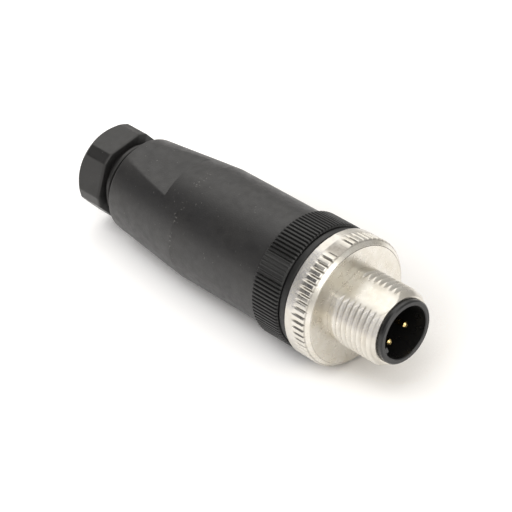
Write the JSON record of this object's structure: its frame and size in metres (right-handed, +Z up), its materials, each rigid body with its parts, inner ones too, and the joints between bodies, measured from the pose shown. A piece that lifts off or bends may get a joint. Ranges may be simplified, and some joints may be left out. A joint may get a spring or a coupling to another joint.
{
  "type": "m12 circular connector",
  "caption": "Straight field-wireable M12 male connector with a threaded metal coupling screw, knurled collar, tapered grip and cable gland.",
  "frame": {"origin": "centre of the bounding box, on the surface that the connector lies on", "axes": "+X towards the mating end, +Z up; the connector's own axis rises by 2.07 degrees towards +X, because it lies on its collar and grip"},
  "size_m": [0.0646, 0.0202, 0.0204],
  "materials": {
    "grip_plastic": "fine moulded texture, matt black",
    "collar_plastic": "satin black",
    "carrier_plastic": "satin black",
    "gland_plastic": "smooth satin black",
    "seal_rubber": "black rubber",
    "nickel_plate": "nickel plated, satin",
    "spring_steel": "bright spring steel",
    "gold_plate": "gold plated",
    "screw_steel": "plated steel"
  },
  "bodies": {
    "grip": {"grip_body": "grip_plastic", "cable_seal": "seal_rubber"},
    "insert_carriage": {"collar_o_ring": "seal_rubber"},
    "insert": {"knurled_collar": "collar_plastic", "contact_carrier": "carrier_plastic", "retaining_ring": "spring_steel", "contact_pin_1": "gold_plate", "contact_pin_2": "gold_plate", "contact_pin_3": "gold_plate", "contact_pin_4": "gold_plate"},
    "coupling": {"coupling_screw": "nickel_plate"},
    "gland_carriage": {"clamp_cage": "gland_plastic"},
    "gland_nut": {"pressing_screw": "gland_plastic"},
    "terminal_1": {"terminal_screw_1": "screw_steel"},
    "terminal_2": {"terminal_screw_2": "screw_steel"},
    "terminal_3": {"terminal_screw_3": "screw_steel"},
    "terminal_4": {"terminal_screw_4": "screw_steel"}
  },
  "joints": [
    {"name": "insert_advance", "type": "slide", "parent": "grip", "child": "insert_carriage", "axis": [0.9993, 0, 0.0361], "range_m": [0, 0.0048]},
    {"name": "insert_turn", "type": "hinge", "parent": "insert_carriage", "child": "insert", "pos_m": [0.01066, 0, 0.00994], "axis": [0.9993, 0, 0.0361], "range_deg": [0, 1736.6]},
    {"name": "coupling_turn", "type": "hinge", "parent": "insert", "child": "coupling", "pos_m": [0.02021, 0, 0.01029], "axis": [0.9993, 0, 0.0361], "continuous": true},
    {"name": "gland_advance", "type": "slide", "parent": "grip", "child": "gland_carriage", "axis": [0.9993, 0, 0.0361], "range_m": [-0.003, 0.0021]},
    {"name": "gland_turn", "type": "hinge", "parent": "gland_carriage", "child": "gland_nut", "pos_m": [-0.02646, 0, 0.0086], "axis": [0.9993, 0, 0.0361], "range_deg": [-868.3, 607.8]},
    {"name": "terminal_turn_1", "type": "hinge", "parent": "insert", "child": "terminal_1", "pos_m": [0.00227, -0.00169, 0.00547], "axis": [-0.0335, 0.3746, 0.9266], "range_deg": [0, 720]},
    {"name": "terminal_turn_2", "type": "hinge", "parent": "insert", "child": "terminal_2", "pos_m": [0.00218, 0.00417, 0.00795], "axis": [-0.0135, -0.9272, 0.3744], "range_deg": [0, 720]},
    {"name": "terminal_turn_3", "type": "hinge", "parent": "insert", "child": "terminal_3", "pos_m": [0.00197, 0.00169, 0.0138], "axis": [0.0335, -0.3746, -0.9266], "range_deg": [0, 720]},
    {"name": "terminal_turn_4", "type": "hinge", "parent": "insert", "child": "terminal_4", "pos_m": [0.00206, -0.00417, 0.01132], "axis": [0.0135, 0.9272, -0.3744], "range_deg": [0, 720]}
  ],
  "couplings": [
    {"joint": "insert_turn", "follows": "insert_advance", "rad_per_m": 6283.2},
    {"joint": "gland_turn", "follows": "gland_advance", "rad_per_m": 5026.5}
  ]
}
